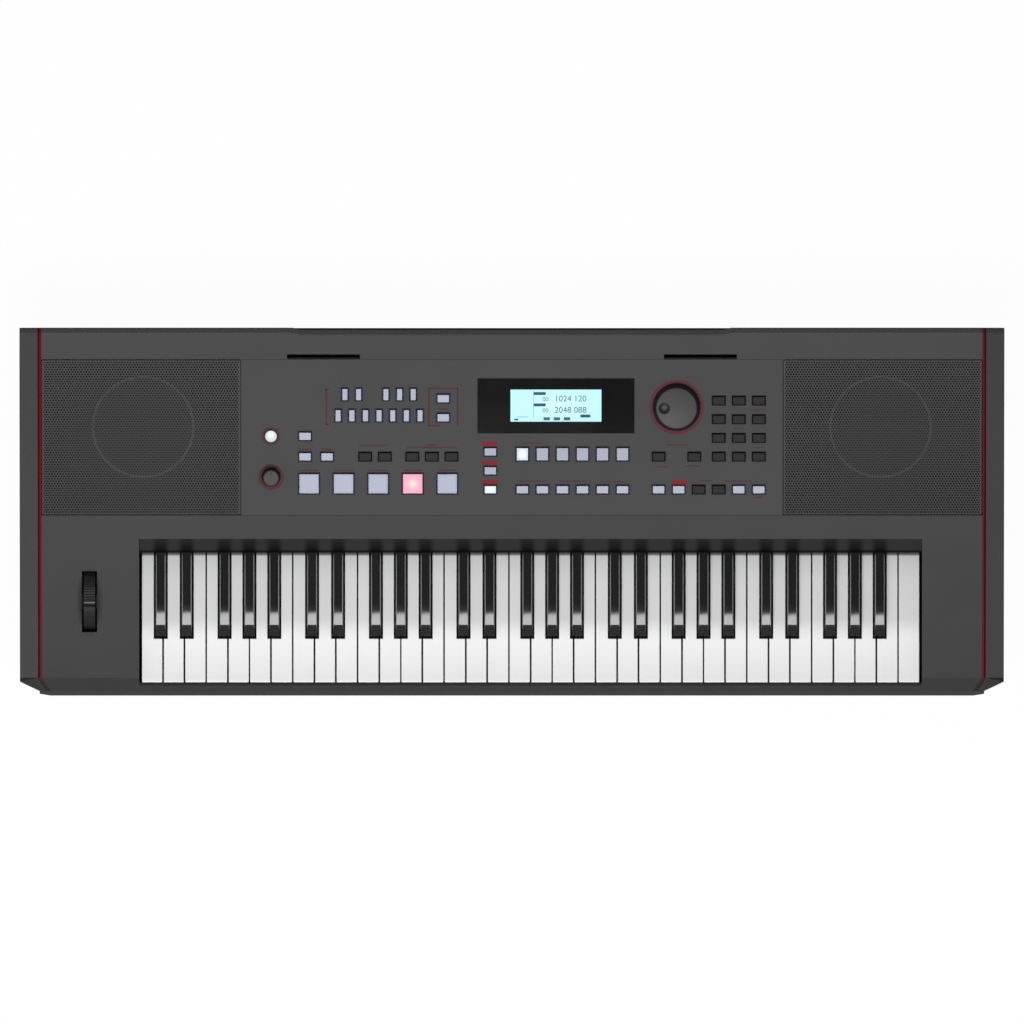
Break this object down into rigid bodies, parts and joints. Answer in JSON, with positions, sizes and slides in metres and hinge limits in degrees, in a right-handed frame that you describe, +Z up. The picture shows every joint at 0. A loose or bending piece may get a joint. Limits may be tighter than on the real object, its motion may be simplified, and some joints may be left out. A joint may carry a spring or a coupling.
{
  "type": "arranger keyboard",
  "caption": "Sloping electronic arranger keyboard with piano keys on a pivot, pitch wheel, volume knob, value dial, push buttons, pads, display window and speaker grilles.",
  "frame": {"origin": "on the table under the middle of the case", "axes": "+X along the keys to the treble end, +Y to the rear, +Z up"},
  "size_m": [1.07, 0.4, 0.1334],
  "materials": {
    "case": "finely textured charcoal moulding",
    "tray": "finely textured dark moulding",
    "end_cap": "satin charcoal moulding",
    "trim": "dark red satin strip",
    "dark_strip": "dark matte strip",
    "rubber": "soft black rubber",
    "grille": "perforated sheet, dark paint",
    "speaker_frame": "black stove paint",
    "speaker_cone": "coated paper",
    "magnet": "bare ferrite",
    "panel": "finely textured charcoal moulding",
    "window": "smoked clear plastic",
    "lcd": "backlit liquid-crystal glass",
    "circuit_board": "green board",
    "rubber_grey": "moulded silicone",
    "steel": "plated sheet",
    "frame_plastic": "dark moulding",
    "felt": "wool felt",
    "socket_plastic": "black moulding",
    "wheel": "ribbed black moulding",
    "knob": "soft black moulding",
    "lit_button": "translucent, lit from below",
    "light_button": "pale grey-blue caps",
    "dark_button": "dark grey caps",
    "white_key": "satin white keys",
    "black_key": "matte black keys"
  },
  "bodies": {
    "case": {"upper_case": "case", "lower_case": "tray", "end_caps": "end_cap", "trim_strips": "trim", "key_well_strip": "dark_strip", "rubber_feet": "rubber", "speaker_grilles": "grille", "woofer_frames": "speaker_frame", "woofer_cones": "speaker_cone", "woofer_magnets": "magnet", "tweeters": "speaker_frame", "control_panel": "panel", "display_window": "window", "lcd_module": "lcd", "panel_board": "circuit_board", "switch_mats": "rubber_grey", "rotary_controls": "steel", "wheel_bracket": "steel", "key_frame": "frame_plastic", "key_stop_felts": "felt", "key_contact_board": "circuit_board", "rubber_contact_strips": "rubber_grey", "main_board": "circuit_board", "jack_panel": "panel", "audio_jacks": "socket_plastic", "usb_sockets": "steel", "dc_inlet": "socket_plastic"},
    "white_keys_c": {"white_keys_c": "white_key"},
    "white_keys_d": {"white_keys_d": "white_key"},
    "white_keys_e": {"white_keys_e": "white_key"},
    "white_keys_f": {"white_keys_f": "white_key"},
    "white_keys_g": {"white_keys_g": "white_key"},
    "white_keys_a": {"white_keys_a": "white_key"},
    "white_keys_b": {"white_keys_b": "white_key"},
    "black_keys_c_sharp": {"black_keys_c_sharp": "black_key"},
    "black_keys_d_sharp": {"black_keys_d_sharp": "black_key"},
    "black_keys_f_sharp": {"black_keys_f_sharp": "black_key"},
    "black_keys_g_sharp": {"black_keys_g_sharp": "black_key"},
    "black_keys_a_sharp": {"black_keys_a_sharp": "black_key"},
    "style_buttons_upper": {"style_buttons_upper": "light_button"},
    "style_buttons_lower": {"style_buttons_lower": "light_button"},
    "bank_buttons": {"bank_buttons": "light_button"},
    "setup_buttons": {"setup_buttons": "light_button"},
    "pad_1": {"pad_1": "light_button"},
    "pad_2": {"pad_2": "light_button"},
    "pad_3": {"pad_3": "light_button"},
    "pad_4": {"pad_4": "light_button"},
    "pad_5": {"pad_5": "light_button"},
    "part_buttons": {"part_buttons": "light_button"},
    "tone_buttons": {"tone_buttons": "light_button"},
    "function_buttons": {"function_buttons": "light_button"},
    "memory_buttons": {"memory_buttons": "light_button"},
    "transport_buttons": {"transport_buttons": "dark_button"},
    "cursor_buttons": {"cursor_buttons": "dark_button"},
    "number_buttons": {"number_buttons": "dark_button"},
    "scene_buttons": {"scene_buttons": "dark_button"},
    "power_button": {"power_button": "lit_button"},
    "pitch_wheel": {"pitch_wheel": "wheel"},
    "volume_knob": {"volume_knob": "knob"},
    "value_dial": {"value_dial": "knob"}
  },
  "joints": [
    {"name": "white_keys_c_press", "type": "hinge", "parent": "case", "child": "white_keys_c", "pos_m": [0, 0.00802, 0.05709], "axis": [1, 0, 0], "range_deg": [0, 3], "stiffness_Nm_per_rad": 3, "springref_deg": -11.46, "deforming": ["rubber_contact_strips"]},
    {"name": "white_keys_d_press", "type": "hinge", "parent": "case", "child": "white_keys_d", "pos_m": [0, 0.00802, 0.05709], "axis": [1, 0, 0], "range_deg": [0, 3], "stiffness_Nm_per_rad": 3, "springref_deg": -11.46, "deforming": ["rubber_contact_strips"]},
    {"name": "white_keys_e_press", "type": "hinge", "parent": "case", "child": "white_keys_e", "pos_m": [0, 0.00802, 0.05709], "axis": [1, 0, 0], "range_deg": [0, 3], "stiffness_Nm_per_rad": 3, "springref_deg": -11.46, "deforming": ["rubber_contact_strips"]},
    {"name": "white_keys_f_press", "type": "hinge", "parent": "case", "child": "white_keys_f", "pos_m": [0, 0.00802, 0.05709], "axis": [1, 0, 0], "range_deg": [0, 3], "stiffness_Nm_per_rad": 3, "springref_deg": -11.46, "deforming": ["rubber_contact_strips"]},
    {"name": "white_keys_g_press", "type": "hinge", "parent": "case", "child": "white_keys_g", "pos_m": [0, 0.00802, 0.05709], "axis": [1, 0, 0], "range_deg": [0, 3], "stiffness_Nm_per_rad": 3, "springref_deg": -11.46, "deforming": ["rubber_contact_strips"]},
    {"name": "white_keys_a_press", "type": "hinge", "parent": "case", "child": "white_keys_a", "pos_m": [0, 0.00802, 0.05709], "axis": [1, 0, 0], "range_deg": [0, 3], "stiffness_Nm_per_rad": 3, "springref_deg": -11.46, "deforming": ["rubber_contact_strips"]},
    {"name": "white_keys_b_press", "type": "hinge", "parent": "case", "child": "white_keys_b", "pos_m": [0, 0.00802, 0.05709], "axis": [1, 0, 0], "range_deg": [0, 3], "stiffness_Nm_per_rad": 3, "springref_deg": -11.46, "deforming": ["rubber_contact_strips"]},
    {"name": "black_keys_c_sharp_press", "type": "hinge", "parent": "case", "child": "black_keys_c_sharp", "pos_m": [0, 0.00802, 0.05709], "axis": [1, 0, 0], "range_deg": [0, 3], "stiffness_Nm_per_rad": 3, "springref_deg": -11.46, "deforming": ["rubber_contact_strips"]},
    {"name": "black_keys_d_sharp_press", "type": "hinge", "parent": "case", "child": "black_keys_d_sharp", "pos_m": [0, 0.00802, 0.05709], "axis": [1, 0, 0], "range_deg": [0, 3], "stiffness_Nm_per_rad": 3, "springref_deg": -11.46, "deforming": ["rubber_contact_strips"]},
    {"name": "black_keys_f_sharp_press", "type": "hinge", "parent": "case", "child": "black_keys_f_sharp", "pos_m": [0, 0.00802, 0.05709], "axis": [1, 0, 0], "range_deg": [0, 3], "stiffness_Nm_per_rad": 3, "springref_deg": -11.46, "deforming": ["rubber_contact_strips"]},
    {"name": "black_keys_g_sharp_press", "type": "hinge", "parent": "case", "child": "black_keys_g_sharp", "pos_m": [0, 0.00802, 0.05709], "axis": [1, 0, 0], "range_deg": [0, 3], "stiffness_Nm_per_rad": 3, "springref_deg": -11.46, "deforming": ["rubber_contact_strips"]},
    {"name": "black_keys_a_sharp_press", "type": "hinge", "parent": "case", "child": "black_keys_a_sharp", "pos_m": [0, 0.00802, 0.05709], "axis": [1, 0, 0], "range_deg": [0, 3], "stiffness_Nm_per_rad": 3, "springref_deg": -11.46, "deforming": ["rubber_contact_strips"]},
    {"name": "style_buttons_upper_press", "type": "slide", "parent": "case", "child": "style_buttons_upper", "axis": [0, 0.1288, -0.9917], "range_m": [0, 0.0012], "stiffness_N_per_m": 400, "springref_m": -0.002},
    {"name": "style_buttons_lower_press", "type": "slide", "parent": "case", "child": "style_buttons_lower", "axis": [0, 0.1288, -0.9917], "range_m": [0, 0.0012], "stiffness_N_per_m": 400, "springref_m": -0.002},
    {"name": "bank_buttons_press", "type": "slide", "parent": "case", "child": "bank_buttons", "axis": [0, 0.1288, -0.9917], "range_m": [0, 0.0012], "stiffness_N_per_m": 400, "springref_m": -0.002},
    {"name": "setup_buttons_press", "type": "slide", "parent": "case", "child": "setup_buttons", "axis": [0, 0.1288, -0.9917], "range_m": [0, 0.0012], "stiffness_N_per_m": 400, "springref_m": -0.002},
    {"name": "pad_1_press", "type": "slide", "parent": "case", "child": "pad_1", "axis": [0, 0.1288, -0.9917], "range_m": [0, 0.0012], "stiffness_N_per_m": 400, "springref_m": -0.002},
    {"name": "pad_2_press", "type": "slide", "parent": "case", "child": "pad_2", "axis": [0, 0.1288, -0.9917], "range_m": [0, 0.0012], "stiffness_N_per_m": 400, "springref_m": -0.002},
    {"name": "pad_3_press", "type": "slide", "parent": "case", "child": "pad_3", "axis": [0, 0.1288, -0.9917], "range_m": [0, 0.0012], "stiffness_N_per_m": 400, "springref_m": -0.002},
    {"name": "pad_4_press", "type": "slide", "parent": "case", "child": "pad_4", "axis": [0, 0.1288, -0.9917], "range_m": [0, 0.0012], "stiffness_N_per_m": 400, "springref_m": -0.002},
    {"name": "pad_5_press", "type": "slide", "parent": "case", "child": "pad_5", "axis": [0, 0.1288, -0.9917], "range_m": [0, 0.0012], "stiffness_N_per_m": 400, "springref_m": -0.002},
    {"name": "part_buttons_press", "type": "slide", "parent": "case", "child": "part_buttons", "axis": [0, 0.1288, -0.9917], "range_m": [0, 0.0012], "stiffness_N_per_m": 400, "springref_m": -0.002},
    {"name": "tone_buttons_press", "type": "slide", "parent": "case", "child": "tone_buttons", "axis": [0, 0.1288, -0.9917], "range_m": [0, 0.0012], "stiffness_N_per_m": 400, "springref_m": -0.002},
    {"name": "function_buttons_press", "type": "slide", "parent": "case", "child": "function_buttons", "axis": [0, 0.1288, -0.9917], "range_m": [0, 0.0012], "stiffness_N_per_m": 400, "springref_m": -0.002},
    {"name": "memory_buttons_press", "type": "slide", "parent": "case", "child": "memory_buttons", "axis": [0, 0.1288, -0.9917], "range_m": [0, 0.0012], "stiffness_N_per_m": 400, "springref_m": -0.002},
    {"name": "transport_buttons_press", "type": "slide", "parent": "case", "child": "transport_buttons", "axis": [0, 0.1288, -0.9917], "range_m": [0, 0.0012], "stiffness_N_per_m": 400, "springref_m": -0.002},
    {"name": "cursor_buttons_press", "type": "slide", "parent": "case", "child": "cursor_buttons", "axis": [0, 0.1288, -0.9917], "range_m": [0, 0.0012], "stiffness_N_per_m": 400, "springref_m": -0.002},
    {"name": "number_buttons_press", "type": "slide", "parent": "case", "child": "number_buttons", "axis": [0, 0.1288, -0.9917], "range_m": [0, 0.0012], "stiffness_N_per_m": 400, "springref_m": -0.002},
    {"name": "scene_buttons_press", "type": "slide", "parent": "case", "child": "scene_buttons", "axis": [0, 0.1288, -0.9917], "range_m": [0, 0.0012], "stiffness_N_per_m": 400, "springref_m": -0.002},
    {"name": "power_button_press", "type": "slide", "parent": "case", "child": "power_button", "axis": [0, 0.1288, -0.9917], "range_m": [0, 0.0012], "stiffness_N_per_m": 400, "springref_m": -0.002},
    {"name": "pitch_wheel_turn", "type": "hinge", "parent": "case", "child": "pitch_wheel", "pos_m": [-0.4589, -0.0944, 0.06953], "axis": [1, 0, 0], "range_deg": [-30, 30], "stiffness_Nm_per_rad": 0.3},
    {"name": "volume_turn", "type": "hinge", "parent": "case", "child": "volume_knob", "pos_m": [-0.2616, 0.03777, 0.1109], "axis": [0, -0.1288, 0.9917], "range_deg": [-150, 150]},
    {"name": "dial_turn", "type": "hinge", "parent": "case", "child": "value_dial", "pos_m": [0.1787, 0.11363, 0.12075], "axis": [0, -0.1288, 0.9917], "continuous": true}
  ]
}
